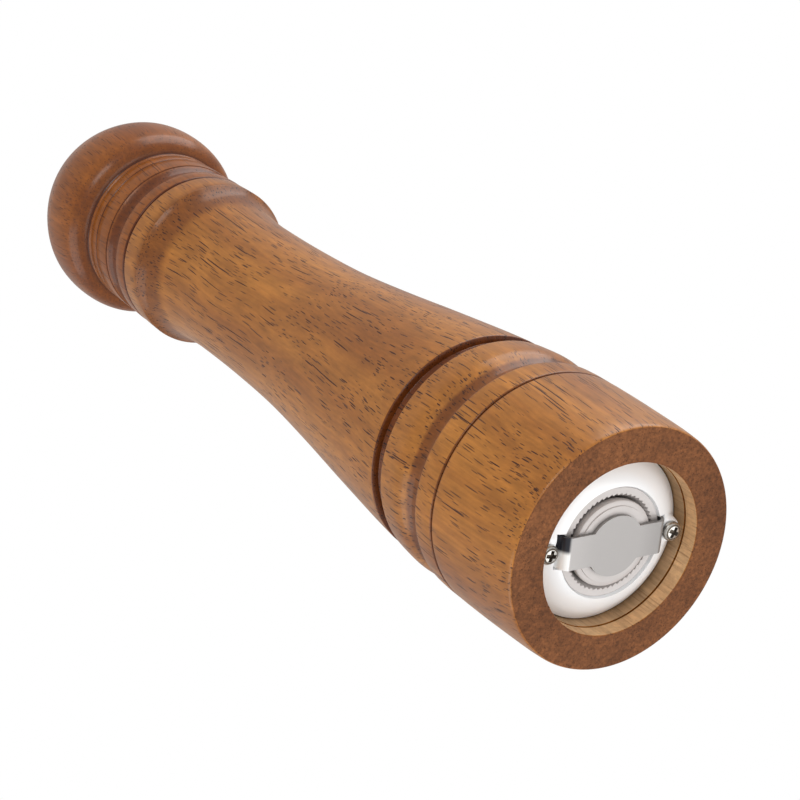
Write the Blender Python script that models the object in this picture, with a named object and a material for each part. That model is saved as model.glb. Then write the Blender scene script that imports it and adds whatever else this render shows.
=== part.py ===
"""Turned wooden pepper mill, standing on its base ring.

Metres, +Z up. The origin is the centre of the flat underside of the base ring, and Z is the turning axis.
The grinder's strap runs along X.
Radii grow outwards from the grinder and the chamber, heights upwards from the base.
The head, drive plate, shaft and rotor turn about Z, so every moving piece has its origin on its joint's axis.
"""

import math

import bmesh
import bpy
from mathutils import Matrix, Vector

MM = 0.001

# ---- driving dimensions, millimetres ----
GAP = 0.3                # between two pieces that touch
FACETS = 36              # round a turned wooden piece
FINE_FACETS = 24         # round a small turned piece
SCREW_FACETS = 18
HOLE_FACETS = 16

# ceramic grinder
STATOR_R = 12.2
STATOR_WALL = 1.1        # outside the teeth, at the lower face
STATOR_H = 10.5
STATOR_FLANGE_H = 1.6
STATOR_SEAT = 0.35       # above the plate's lip
STATOR_TEETH = 54
STATOR_TOOTH = 0.5       # depth of a tooth
RIM_CLEAR = 0.75         # between the rotor's rim and the stator's teeth
ROTOR_H = 12.9
ROTOR_RIM_H = 1.6
ROTOR_TEETH = 30
ROTOR_TOOTH = 0.45
ROTOR_FEED_TOOTH = 1.3   # depth of a tooth at the narrow end
ROTOR_NECK_WALL = 1.44   # round the bore, at the narrow end
TWIST = 0.2              # of the rotor's teeth, radians

# square shaft, its hub, spring and washers
SHAFT_SIDE = 4.8
FOOT_H = 1.8             # round foot and neck below the square
NECK_CUT = 0.6           # how much thinner the neck is than the thread
THREAD_L = 11.0
THREAD_SHORT = 1.7       # thread's end, below the roof of the nut's hole
HUB_WALL = 0.68
HUB_FLANGE = 1.4
HUB_FLANGE_H = 0.8
CLIP_H = 0.6
CLIP_RIM = 2.1
CLIP_MOUTH = 3.0
CLIP_GAP = 0.9           # above the rotor's lower face
SPRING_CLEAR = 1.0       # outside the boss's hole
SPRING_LIFT = 0.35       # above the hub
WIRE_R = 0.45
SPRING_TURNS = 4.5
WASHER_T = 0.6
WASHER_RIM = 1.1         # outside the spring

# nylon housing
HOUSING_LIFT = 0.35      # above the strap's feet
HOUSING_WALL = 1.1
HOUSING_H = 22.35
HOUSING_FLANGE_H = 1.1
HOUSING_FOOT = 0.75      # below the flange
HOUSING_SIDE = 2.0       # between its flange and the mouth of the recess
STATOR_STOP = 0.4        # step that the stator pushes against
SPIDER_H = 3.5
SPIDER_HALF = 1.2        # half an arm's width
BOSS_CLEAR = 0.5         # round the shaft's corners
BOSS_WALL = 2.3

# satin strap under the rotor
STRAP_Z = 2.1            # lower face
STRAP_T = 0.7
STRAP_DISC_R = 7.05
STRAP_HALF = 3.8         # half its width
STRAP_INSET = 1.45       # of its folds, inside the plate's opening
STRAP_LEAN = 1.75        # how far a leg leans outwards
STRAP_FOOT = 1.85        # foot behind the plate
FOOT_DROP = 0.15         # foot's middle, below the top of the stator's flange

# dished steel plate in the recess, and its screws
OPEN_CLEAR = 0.85        # plate's opening, outside the stator's wall
LIP_Z = 3.75             # plate's inner edge
PLATE_T = 0.9
PLATE_SLOPE = 0.341      # dish of the plate at its opening
PLATE_CURVE = 0.0449     # and how it steepens outwards
PLATE_CLEAR = 0.4        # to the mouth of the recess
SCREW_CLEAR = 0.22       # between a screw's head and the strap's leg
SCREW_OUTSIDE = 3.43     # plate's edge, outside the screw's axis
SCREW_HEAD_R = 2.25
SCREW_HEAD_H = 1.45
SCREW_SHANK_R = 1.3
SCREW_LENGTH = 13.25     # under the head
SEAT_UP = 0.8            # flat screw seat, above the plate's lip
SEAT_RIM = 0.6           # flat seat, outside the head

# wooden base ring and body, from the bottom up
SPIGOT_WALL = 4.3
RING_WALL = 4.3
BASE_H = 30.0            # joint between base ring and body
SEAM_Z = 4.3             # inner joint, where the body's spigot ends
BAND_H = 6.9             # plain band above the joint
COVE_H = 5.2
COVE_DEPTH = 1.45
BEAD_H = 10.6
GROOVE_H = 4.05
GROOVE_DEPTH = 1.9
BORE_R = 13.5            # pepper chamber
WAIST_WALL = 5.1         # at the narrowest place
WAIST_RUN = 101.3        # from the groove up to the narrowest place
SHOULDER_RUN = 25.15     # from there up to the shoulder's edge
TOP_BAND_H = 7.55        # band between shoulder and head
NECK_WALL = 8.25         # at the head's joint

# wooden head
NECK_BAND_H = 4.65       # from the joint to the neck's groove
NECK_GROOVE_H = 5.85
NECK_GROOVE_DEPTH = 1.3
NECK_TOP_H = 10.8        # from that groove to the crease under the cap
CAP_OVERHANG = 4.3
CAP_LIP_H = 9.9          # from the crease to the widest place
DOME_H = 24.35           # from there to the flat on top
DOME_FLAT_R = 9.6
TENON_H = 12.2           # head's tenon inside the chamber
TENON_GAP = 0.4
HEAD_BORE_CLEAR = 1.6    # round the thread

# drive plate under the tenon, and its screws
DRIVE_PLATE_INSET = 1.6
DRIVE_PLATE_T = 1.2
DRIVE_SCREW_INSET = 3.3
DRIVE_HEAD_R = 2.2
DRIVE_HEAD_H = 1.3
DRIVE_SHANK_R = 1.05
DRIVE_LENGTH = 8.9

# nut on top
NUT_R = 6.6
NUT_H = 6.3
NUT_TOP_T = 1.3
NUT_WASHER_T = 0.5
NUT_WASHER_INSET = 0.8
KNURLS = 24
KNURL = 0.4

# ---- radii that follow, outwards ----
SQUARE_HOLE = SHAFT_SIDE + 2 * GAP
THREAD_R = SHAFT_SIDE / 2
NECK_CUT_R = THREAD_R - NECK_CUT
HUB_R = SQUARE_HOLE * math.sqrt(0.5) + HUB_WALL
ROTOR_BORE_R = HUB_R + GAP
BOSS_HOLE_R = SHAFT_SIDE * math.sqrt(0.5) + BOSS_CLEAR
BOSS_R = BOSS_HOLE_R + BOSS_WALL
SPRING_R = BOSS_HOLE_R + SPRING_CLEAR
STATOR_TIP_R = STATOR_R - STATOR_WALL
ROTOR_RIM_R = STATOR_TIP_R - RIM_CLEAR
CONE_H = ROTOR_H - ROTOR_RIM_H
CONE = (ROTOR_RIM_R - ROTOR_BORE_R - ROTOR_NECK_WALL) / CONE_H
OPEN_R = STATOR_R + OPEN_CLEAR
HOUSING_IN_R = STATOR_R + GAP
HOUSING_OUT_R = HOUSING_IN_R + HOUSING_WALL
POCKET_R = HOUSING_OUT_R + GAP
FOLD_X = OPEN_R - STRAP_INSET
LEG_X = FOLD_X + STRAP_LEAN
FOOT_X = LEG_X + STRAP_FOOT
SCREW_X = LEG_X + STRAP_T / 2 + SCREW_CLEAR + SCREW_HEAD_R
SEAT_R = SCREW_HEAD_R + SEAT_RIM
PLATE_R = SCREW_X + SCREW_OUTSIDE
MOUTH_R = PLATE_R + PLATE_CLEAR
SPIGOT_R = MOUTH_R + SPIGOT_WALL
BASE_R = SPIGOT_R + GAP + RING_WALL
WAIST_R = BORE_R + WAIST_WALL
NECK_R = BORE_R + NECK_WALL
CAP_R = NECK_R + CAP_OVERHANG
TENON_R = BORE_R - TENON_GAP
HEAD_BORE_R = THREAD_R + HEAD_BORE_CLEAR
DRIVE_PLATE_R = TENON_R - DRIVE_PLATE_INSET
DRIVE_SCREW_Y = DRIVE_PLATE_R - DRIVE_SCREW_INSET

# ---- heights that follow, upwards ----
ROTOR_Z = STRAP_Z + STRAP_T + GAP
ROTOR_TOP = ROTOR_Z + ROTOR_H
SQUARE_Z = ROTOR_Z + FOOT_H
CLIP_Z = ROTOR_Z + CLIP_GAP
STATOR_Z = LIP_Z + PLATE_T + STATOR_SEAT
STATOR_TOP = STATOR_Z + STATOR_H
FLANGE_TOP = STATOR_Z + STATOR_FLANGE_H
STRAP_FOOT_Z = FLANGE_TOP - FOOT_DROP
FOOT_TOP = STRAP_FOOT_Z + STRAP_T / 2
HOUSING_Z = FOOT_TOP + HOUSING_LIFT
HOUSING_TOP = HOUSING_Z + HOUSING_H
HOUSING_FLANGE_Z = HOUSING_Z + HOUSING_FOOT
SHELF_Z = HOUSING_FLANGE_Z + HOUSING_FLANGE_H + GAP
POCKET_TOP = HOUSING_TOP + GAP
SPIDER_Z = HOUSING_TOP - SPIDER_H
WASHER_Z = SPIDER_Z - GAP - WASHER_T
HUB_TOP = ROTOR_TOP + GAP + HUB_FLANGE_H
SPRING_LOW = HUB_TOP + SPRING_LIFT
SPRING_HIGH = WASHER_Z - GAP
SCREW_SEAT_Z = LIP_Z + SEAT_UP
BAND_TOP = BASE_H + BAND_H
BEAD_Z = BAND_TOP + COVE_H
GROOVE_Z = BEAD_Z + BEAD_H
GROOVE_TOP = GROOVE_Z + GROOVE_H
WAIST_Z = GROOVE_TOP + WAIST_RUN
SHOULDER_Z = WAIST_Z + SHOULDER_RUN
BODY_TOP = SHOULDER_Z + TOP_BAND_H
HEAD_Z = BODY_TOP + GAP
TENON_BOTTOM = HEAD_Z - TENON_H
NECK_GROOVE_Z = HEAD_Z + NECK_BAND_H
NECK_GROOVE_TOP = NECK_GROOVE_Z + NECK_GROOVE_H
CREASE_Z = NECK_GROOVE_TOP + NECK_TOP_H
CAP_Z = CREASE_Z + CAP_LIP_H
HEAD_TOP = CAP_Z + DOME_H
DRIVE_PLATE_Z = TENON_BOTTOM - GAP - DRIVE_PLATE_T
NUT_WASHER_Z = HEAD_TOP + GAP
NUT_Z = NUT_WASHER_Z + NUT_WASHER_T + GAP
NUT_TOP = NUT_Z + NUT_H
SHAFT_TOP = NUT_TOP - NUT_TOP_T - THREAD_SHORT
THREAD_Z = SHAFT_TOP - THREAD_L

for old in list(bpy.data.objects):
    bpy.data.objects.remove(old, do_unlink=True)


def material(name, colour, metallic, roughness):
    made = bpy.data.materials.new(name)
    made.use_nodes = True
    shader = made.node_tree.nodes["Principled BSDF"]
    shader.inputs["Base Color"].default_value = (*colour, 1.0)
    shader.inputs["Metallic"].default_value = metallic
    shader.inputs["Roughness"].default_value = roughness
    return made


def place(name, shape, mat=None):
    """Makes a finished bmesh an object at the origin, its place in its vertices."""
    bmesh.ops.recalc_face_normals(shape, faces=shape.faces)
    mesh = bpy.data.meshes.new(name)
    shape.to_mesh(mesh)
    shape.free()
    obj = bpy.data.objects.new(name, mesh)
    bpy.context.scene.collection.objects.link(obj)
    if mat is not None:
        mesh.materials.append(mat)
    return obj


def curve(start, pull_a, pull_b, end, steps):
    """Points (radius, height) of a smooth curve, without its start."""
    found = []
    for i in range(1, steps + 1):
        t = i / steps
        s = 1 - t
        weights = (s ** 3, 3 * s * s * t, 3 * s * t * t, t ** 3)
        corners = (start, pull_a, pull_b, end)
        found.append(tuple(sum(w * c[k] for w, c in zip(weights, corners)) for k in (0, 1)))
    return found


def lathe(name, outline, mat=None, facets=FACETS, x=0.0, y=0.0):
    """Spins an outline of (radius, height) round a vertical axis. It closes on itself, or on that axis."""
    shape = bmesh.new()
    points = [shape.verts.new((r * MM, 0, z * MM)) for r, z in outline]
    for a, b in zip(points, points[1:]):
        shape.edges.new((a, b))
    if outline[0][0] > 0:
        shape.edges.new((points[-1], points[0]))
    bmesh.ops.spin(shape, geom=shape.verts[:] + shape.edges[:], cent=(0, 0, 0), axis=(0, 0, 1),
                   angle=2 * math.pi, steps=facets, use_merge=True)
    bmesh.ops.remove_doubles(shape, verts=shape.verts, dist=0.001 * MM)
    bmesh.ops.translate(shape, verts=shape.verts, vec=(x * MM, y * MM, 0))
    return place(name, shape, mat)


def washer_outline(inner, outer, low, high):
    return [(inner, low), (outer, low), (outer, high), (inner, high)]


def rod(r, low, high, facets=HOLE_FACETS, x=0.0, y=0.0):
    return lathe("rod", washer_outline(0, r, low, high), None, facets, x, y)


def block(low, high, name="block", mat=None):
    """A box between two corners."""
    shape = bmesh.new()
    bmesh.ops.create_cube(shape, size=1.0)
    size = [(b - a) * MM for a, b in zip(low, high)]
    middle = [(a + b) / 2 * MM for a, b in zip(low, high)]
    bmesh.ops.scale(shape, verts=shape.verts, vec=size)
    bmesh.ops.translate(shape, verts=shape.verts, vec=middle)
    return place(name, shape, mat)


def square_bar(side, low, high, name="bar", mat=None):
    return block((-side / 2, -side / 2, low), (side / 2, side / 2, high), name, mat)


def side_block(side, near, far, half, low, high):
    """A box between two distances from the axis along X, on one side of it."""
    left, right = sorted((side * near, side * far))
    return block((left, -half, low), (right, half, high))


def ring_spots(r, z, depth, twist, teeth):
    """Tip and root of every tooth of one ring."""
    root_share = 0.62
    spots = []
    for tooth in range(teeth):
        for share, reach in ((0, r), (root_share, r + depth)):
            angle = 2 * math.pi * (tooth + share) / teeth + twist
            spots.append(Vector((reach * math.cos(angle), reach * math.sin(angle), z)) * MM)
    return spots


def toothed_tube(name, rings, teeth, mat):
    """A tube drawn out through rings of (radius, height, tooth depth, twist) and back to the first."""
    shape = bmesh.new()
    loop = [shape.verts.new(spot) for spot in ring_spots(*rings[0], teeth)]
    edges = [shape.edges.new((loop[i - 1], loop[i])) for i in range(len(loop))]
    for ring in rings[1:] + rings[:1]:
        grown = bmesh.ops.extrude_edge_only(shape, edges=edges)["geom"]
        fresh = {item for item in grown if isinstance(item, bmesh.types.BMVert)}
        loop = [next(e.other_vert(v) for e in v.link_edges if e.other_vert(v) in fresh) for v in loop]
        edges = [shape.edges.get((loop[i - 1], loop[i])) for i in range(len(loop))]
        for vert, spot in zip(loop, ring_spots(*ring, teeth)):
            vert.co = spot
    bmesh.ops.remove_doubles(shape, verts=shape.verts, dist=0.001 * MM)
    return place(name, shape, mat)


def combine(obj, other, operation):
    """Joins or cuts with an exact Boolean, keeps the result and removes the other solid."""
    step = obj.modifiers.new("step", "BOOLEAN")
    step.operation = operation
    step.solver = "EXACT"
    step.object = other
    graph = bpy.context.evaluated_depsgraph_get()
    mesh = bpy.data.meshes.new_from_object(obj.evaluated_get(graph))
    obj.modifiers.remove(step)
    clean = bmesh.new()
    clean.from_mesh(mesh)
    bmesh.ops.remove_doubles(clean, verts=clean.verts, dist=0.003 * MM)
    bmesh.ops.dissolve_degenerate(clean, edges=clean.edges, dist=0.003 * MM)
    clean.to_mesh(mesh)
    clean.free()
    finish = list(obj.data.materials)
    obj.data = mesh
    mesh.name = obj.name
    mesh.materials.clear()
    for mat in finish:
        mesh.materials.append(mat)
    bpy.data.objects.remove(other, do_unlink=True)
    return obj


def cut(obj, other):
    return combine(obj, other, "DIFFERENCE")


def join(obj, other):
    return combine(obj, other, "UNION")


# ---- base ring: wide wooden foot, with the recess mouth below and a rebate above for the body's spigot ----
base_wood = material("base_wood", (0.43, 0.21, 0.08), 0.0, 0.45)
foot_r = BASE_R - 1.2
side_r = BASE_R - 0.4
near_r = BASE_R - 0.08
lathe("base_ring", [
    (MOUTH_R + 0.3, 0), (foot_r, 0),
    *curve((foot_r, 0), (BASE_R - 0.8, 0), (BASE_R - 0.5, 0.5), (side_r, 2.0), 3),
    *curve((side_r, 2.0), (BASE_R - 0.15, BASE_H * 0.35), (BASE_R, BASE_H * 0.4), (BASE_R, BASE_H * 0.67), 3),
    (near_r, BASE_H - 0.7), (side_r, BASE_H - GAP / 2),
    (SPIGOT_R + GAP, BASE_H - GAP / 2), (SPIGOT_R + GAP, SEAM_Z - GAP / 2),
    (MOUTH_R, SEAM_Z - GAP / 2), (MOUTH_R, 0.3),
], base_wood)

# ---- body: spigot, band, cove, bead, groove, long waist and flared shoulder, bored through for the pepper ----
body_wood = material("body_wood", (0.46, 0.23, 0.085), 0.0, 0.42)
recess_r = MOUTH_R - 0.1
band_r = BASE_R - 0.45
cove_r = band_r - COVE_DEPTH
bead_r = BASE_R - 0.55
bead_low_r = band_r - 0.9
bead_top_r = bead_r - 0.85
groove_r = bead_top_r - GROOVE_DEPTH
waist_low_r = bead_r - 1.0
edge_r = NECK_R + 0.15
body = lathe("body", [
    (recess_r, SEAM_Z + GAP / 2), (SPIGOT_R, SEAM_Z + GAP / 2), (SPIGOT_R, BASE_H + GAP / 2),
    (side_r, BASE_H + GAP / 2), (near_r, BASE_H + 0.6), (BASE_R - 0.28, BAND_TOP - 0.7), (band_r, BAND_TOP),
    *curve((band_r - 0.7, BAND_TOP + 0.2), (cove_r - 0.3, BAND_TOP + 0.9),
           (cove_r, BEAD_Z - 2.2), (bead_low_r, BEAD_Z - 0.4), 4),
    *curve((bead_low_r, BEAD_Z - 0.4), (bead_r - 0.1, BEAD_Z + 1),
           (bead_r + 0.35, BEAD_Z + 4.5), (bead_top_r, GROOVE_Z), 5),
    (groove_r, GROOVE_Z + 0.15), (groove_r, GROOVE_TOP - 0.25), (waist_low_r - 0.2, GROOVE_TOP),
    (waist_low_r, GROOVE_TOP + 0.35),
    *curve((waist_low_r, GROOVE_TOP + 0.35), (waist_low_r - 2.0, GROOVE_TOP + WAIST_RUN * 0.25),
           (WAIST_R + 0.1, GROOVE_TOP + WAIST_RUN * 0.6), (WAIST_R, WAIST_Z), 8),
    *curve((WAIST_R, WAIST_Z), (WAIST_R, WAIST_Z + SHOULDER_RUN * 0.66),
           (edge_r - 2.3, SHOULDER_Z - 4.0), (edge_r - 0.15, SHOULDER_Z - 0.4), 6),
    (edge_r, SHOULDER_Z), (NECK_R, BODY_TOP - 0.55), (NECK_R - 0.45, BODY_TOP),
    (BORE_R + 0.4, BODY_TOP), (BORE_R, BODY_TOP - 0.4),
    (BORE_R, POCKET_TOP), (POCKET_R, POCKET_TOP), (POCKET_R, SHELF_Z), (recess_r, SHELF_Z),
], body_wood)
for side in (1, -1):
    hole_top = SCREW_SEAT_Z - GAP + SCREW_LENGTH + 1.5
    cut(body, rod(SCREW_SHANK_R + 0.1, SHELF_Z - 1, hole_top, x=side * SCREW_X))

# ---- head: tenon in the body's bore, banded neck and wide mushroom cap, bored through for the shaft ----
head_wood = material("head_wood", (0.44, 0.21, 0.08), 0.0, 0.40)
neck_edge = NECK_R - 0.3
neck_low = neck_edge - NECK_GROOVE_DEPTH
line_z = CREASE_Z - 4.75
ridge_z = CREASE_Z - 0.8
flat_angle = math.acos(DOME_FLAT_R / CAP_R)
dome_lift = DOME_H / math.sin(flat_angle)
dome_steps = 7
dome = []
for step in range(1, dome_steps + 1):
    angle = flat_angle * step / dome_steps
    dome.append((CAP_R * math.cos(angle), CAP_Z + dome_lift * math.sin(angle)))
head = lathe("head", [
    (HEAD_BORE_R, TENON_BOTTOM), (TENON_R - 0.6, TENON_BOTTOM), (TENON_R, TENON_BOTTOM + 0.6),
    (TENON_R, HEAD_Z), (NECK_R - 0.4, HEAD_Z), (NECK_R, HEAD_Z + 0.5),
    (NECK_R, NECK_GROOVE_Z - 0.25), (neck_edge, NECK_GROOVE_Z),
    *curve((neck_edge, NECK_GROOVE_Z), (neck_low - 0.45, NECK_GROOVE_Z + 1.3),
           (neck_low, NECK_GROOVE_TOP - 2.0), (neck_edge - 0.1, NECK_GROOVE_TOP), 5),
    (NECK_R - 0.2, NECK_GROOVE_TOP + 0.4), (NECK_R - 0.25, line_z - 0.35),
    (NECK_R - 0.55, line_z), (NECK_R - 0.28, line_z + 0.35),
    (NECK_R - 0.35, ridge_z - 0.8), (NECK_R - 0.6, ridge_z - 0.5),
    (NECK_R - 0.25, ridge_z), (NECK_R - 0.7, CREASE_Z),
    *curve((NECK_R - 0.45, CREASE_Z + 0.5), (CAP_R - 2.2, CREASE_Z + 0.9),
           (CAP_R - 0.2, CREASE_Z + 3.6), (CAP_R, CAP_Z), 6),
    *dome, (HEAD_BORE_R, HEAD_TOP),
], head_wood)
for side in (1, -1):
    hole_top = DRIVE_PLATE_Z - GAP + DRIVE_LENGTH + 1.0
    cut(head, rod(DRIVE_SHANK_R + 0.15, TENON_BOTTOM - 1, hole_top, y=side * DRIVE_SCREW_Y))


# ---- dished steel plate: opening, two notches for the strap's legs, two flat screw seats ----
def plate_z(r):
    """Height of the plate's lower face."""
    out = r - OPEN_R
    return LIP_Z + PLATE_SLOPE * out + PLATE_CURVE * out * out


plate_steel = material("plate_steel", (0.86, 0.86, 0.85), 1.0, 0.22)
dish_steps = 5
radii = [OPEN_R + (PLATE_R - OPEN_R) * i / dish_steps for i in range(dish_steps + 1)]
lower = [(r, plate_z(r)) for r in radii]
upper = [(r, z + PLATE_T) for r, z in reversed(lower)]
plate = lathe("mechanism_plate", lower + upper, plate_steel)
notch_half = STRAP_HALF + GAP
notch_x = LEG_X + STRAP_T / 2 + 0.5
above = HOUSING_TOP
for side in (1, -1):
    x = side * SCREW_X
    join(plate, rod(SEAT_R, SCREW_SEAT_Z, plate_z(SCREW_X + SEAT_R) - 0.1, FINE_FACETS, x))
    cut(plate, rod(SEAT_R + 0.02, 0, SCREW_SEAT_Z, FINE_FACETS, x))
    cut(plate, rod(SEAT_R - 0.75, SCREW_SEAT_Z + PLATE_T - 0.05, above, FINE_FACETS, x))
    cut(plate, side_block(side, FOLD_X + 0.4, FOOT_X + 0.4, notch_half, FOOT_TOP - STRAP_T - GAP, above))
    cut(plate, side_block(side, FOLD_X - 2, notch_x, notch_half, 0, above))
    cut(plate, rod(SCREW_SHANK_R + GAP, 0, above, x=x))

# ---- strap: flat disc and two arms under the rotor, folded up through the notches, with short forked feet ----
strap_steel = material("strap_steel", (0.62, 0.61, 0.60), 1.0, 0.38)
right_half = [
    Vector((FOLD_X, 0, STRAP_Z + STRAP_T / 2)), Vector((LEG_X - 0.25, 0, LIP_Z + PLATE_T - 0.05)),
    Vector((LEG_X, 0, STRAP_FOOT_Z)), Vector((FOOT_X, 0, STRAP_FOOT_Z)),
]
middle_line = [Vector((-p.x, 0, p.z)) for p in reversed(right_half)] + right_half


def strap_face(offset):
    """The strap's middle line moved across its thickness, for its upper or lower face."""
    moved = []
    for i, here in enumerate(middle_line):
        before = (here - middle_line[max(i - 1, 0)]).normalized()
        after = (middle_line[min(i + 1, len(middle_line) - 1)] - here).normalized()
        before = before if before.length else after
        after = after if after.length else before
        across = Vector((-(before + after).z, 0, (before + after).x)).normalized()
        moved.append(here + across * offset / across.dot(Vector((-before.z, 0, before.x))))
    return moved


shape = bmesh.new()
section = strap_face(STRAP_T / 2) + list(reversed(strap_face(-STRAP_T / 2)))
edge_face = shape.faces.new([shape.verts.new((p + Vector((0, -STRAP_HALF, 0))) * MM) for p in section])
grown = bmesh.ops.extrude_face_region(shape, geom=[edge_face])["geom"]
far_side = [v for v in grown if isinstance(v, bmesh.types.BMVert)]
bmesh.ops.translate(shape, verts=far_side, vec=(0, 2 * STRAP_HALF * MM, 0))
strap = place("bridge_strap", shape, strap_steel)
join(strap, rod(STRAP_DISC_R, STRAP_Z, STRAP_Z + STRAP_T, FACETS))
for side in (1, -1):
    cut(strap, rod(SCREW_SHANK_R + 0.45, LIP_Z + PLATE_T, HOUSING_Z, x=side * SCREW_X))


# ---- the two plate screws: pan head with a cross recess, shank up into the body ----
def screw(name, x, y, seat, head_r, head_h, shank_r, length, mat):
    """A screw whose head faces down, with its shank going up from the seat."""
    face = seat - head_h
    made = lathe(name, [
        (0, face), (head_r * 0.55, face + 0.02), (head_r * 0.85, face + head_h * 0.28),
        (head_r, face + head_h * 0.62),
        (head_r, seat), (shank_r, seat), (shank_r, seat + length - 1.5), (0, seat + length),
    ], mat, SCREW_FACETS, x, y)
    long_half = head_r * 0.62
    short_half = head_r * 0.15
    for a, b in ((long_half, short_half), (short_half, long_half)):
        cut(made, block((x - a, y - b, face - 1), (x + a, y + b, face + head_h * 0.6)))
    return made


for number, side in ((1, 1), (2, -1)):
    zinc = material(f"plate_screw_zinc_{number}", (0.62, 0.60, 0.54), 1.0, 0.30)
    screw(f"plate_screw_{number}", side * SCREW_X, 0, SCREW_SEAT_Z - GAP, SCREW_HEAD_R, SCREW_HEAD_H,
          SCREW_SHANK_R, SCREW_LENGTH, zinc)

# ---- ceramic stator: ring with a sawtooth cone inside, feed funnel above, flats beside the strap's legs ----
stator_ceramic = material("stator_ceramic", (0.70, 0.67, 0.67), 0.0, 0.35)
flange_r = HOUSING_OUT_R - 0.2
funnel_z = STATOR_TOP - 3
funnel_r = STATOR_TIP_R - CONE * (funnel_z - STATOR_Z)
stator = toothed_tube("stator", [
    (STATOR_TIP_R, STATOR_Z, STATOR_TOOTH, 0), (funnel_r, funnel_z, STATOR_TOOTH, 0),
    (STATOR_R - 1.4, STATOR_TOP, 0, 0), (STATOR_R, STATOR_TOP, 0, 0), (STATOR_R, FLANGE_TOP, 0, 0),
    (flange_r, FLANGE_TOP, 0, 0), (flange_r, STATOR_Z + 0.15, 0, 0), (flange_r - 0.3, STATOR_Z, 0, 0),
], STATOR_TEETH, stator_ceramic)
for side in (1, -1):
    cut(stator, side_block(side, FOLD_X + 0.85, FOOT_X, notch_half + 0.1, STATOR_Z - 1, FLANGE_TOP + 0.4))

# ---- nylon housing: sleeve round the stator, flange under the shelf, spider that guides the shaft ----
housing_nylon = material("housing_nylon", (0.86, 0.85, 0.80), 0.0, 0.5)
housing_flange_r = MOUTH_R - HOUSING_SIDE
flange_under_shelf = SHELF_Z - GAP
guide_r = HOUSING_IN_R - STATOR_STOP
stop_z = STATOR_TOP + GAP
housing = lathe("stator_housing", [
    (HOUSING_IN_R, HOUSING_Z), (HOUSING_OUT_R, HOUSING_Z), (HOUSING_OUT_R, HOUSING_FLANGE_Z),
    (housing_flange_r, HOUSING_FLANGE_Z), (housing_flange_r, flange_under_shelf),
    (HOUSING_OUT_R, flange_under_shelf),
    (HOUSING_OUT_R, HOUSING_TOP), (guide_r, HOUSING_TOP), (guide_r, stop_z), (HOUSING_IN_R, stop_z),
], housing_nylon)
for arm_number in range(3):
    arm_low = (BOSS_R - BOSS_WALL / 2, -SPIDER_HALF, SPIDER_Z + 0.4)
    arm_high = (HOUSING_IN_R + 0.2, SPIDER_HALF, HOUSING_TOP - 0.4)
    arm = block(arm_low, arm_high)
    arm.data.transform(Matrix.Rotation(math.radians(120 * arm_number + 90), 4, "Z"))
    join(housing, arm)
join(housing, lathe("boss", washer_outline(BOSS_HOLE_R, BOSS_R, SPIDER_Z, HOUSING_TOP), facets=FINE_FACETS))
for side in (1, -1):
    cut(housing, rod(SEAT_R + GAP, HOUSING_Z - 1, SHELF_Z, FINE_FACETS, side * SCREW_X))

# ---- ceramic rotor: smooth rounded rim below, twisted saw teeth on the cone above ----
rotor_ceramic = material("rotor_ceramic", (0.70, 0.67, 0.67), 0.0, 0.35)
cone_rings = 4
cone_z = ROTOR_Z + ROTOR_RIM_H + 0.2
cone_top = ROTOR_TOP - 0.4
teeth_rings = []
for ring in range(cone_rings + 1):
    share = ring / cone_rings
    z = cone_z + (cone_top - cone_z) * share
    r = ROTOR_RIM_R - 0.05 - CONE * (z - ROTOR_Z - ROTOR_RIM_H)
    deeper = (ROTOR_FEED_TOOTH - ROTOR_TOOTH) * max(0, 2 * share - 1)
    teeth_rings.append((r, z, -ROTOR_TOOTH - deeper, TWIST * share))
top_r = ROTOR_BORE_R + 0.14
toothed_tube("rotor", [
    (ROTOR_BORE_R, ROTOR_Z + 0.5, 0, 0), (ROTOR_BORE_R + 1.8, ROTOR_Z + 0.35, 0, 0),
    (ROTOR_BORE_R + 2.5, ROTOR_Z, 0, 0), (ROTOR_RIM_R - 1.05, ROTOR_Z, 0, 0),
    (ROTOR_RIM_R - 0.4, ROTOR_Z + 0.2, 0, 0), (ROTOR_RIM_R - 0.07, ROTOR_Z + 0.6, 0, 0),
    (ROTOR_RIM_R, ROTOR_Z + 1.1, 0, 0), (ROTOR_RIM_R - 0.1, ROTOR_Z + ROTOR_RIM_H - 0.1, 0, 0), *teeth_rings,
    (top_r, ROTOR_TOP, 0, TWIST), (ROTOR_BORE_R, ROTOR_TOP, 0, TWIST),
], ROTOR_TEETH, rotor_ceramic)

# ---- nylon hub that carries the rotor on the square shaft ----
hub_nylon = material("hub_nylon", (0.86, 0.85, 0.80), 0.0, 0.5)
hub_flange_z = HUB_TOP - HUB_FLANGE_H
hub_flange_r = HUB_R + HUB_FLANGE
hub = lathe("rotor_hub", [
    (0, SQUARE_Z), (HUB_R, SQUARE_Z), (HUB_R, hub_flange_z),
    (hub_flange_r, hub_flange_z), (hub_flange_r, HUB_TOP), (0, HUB_TOP),
], hub_nylon, FINE_FACETS)
cut(hub, square_bar(SQUARE_HOLE, 0, HUB_TOP + 1))

# ---- retaining clip under the hub, open to one side ----
clip_steel = material("clip_steel", (0.35, 0.35, 0.36), 1.0, 0.4)
clip_in_r = NECK_CUT_R + GAP
clip_out_r = clip_in_r + CLIP_RIM
clip_top = CLIP_Z + CLIP_H
clip = lathe("retaining_clip", washer_outline(clip_in_r, clip_out_r, CLIP_Z, clip_top), clip_steel, FINE_FACETS)
cut(clip, block((-CLIP_MOUTH / 2, -clip_out_r - 1, CLIP_Z - 1), (CLIP_MOUTH / 2, 0, clip_top + 1)))

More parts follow.
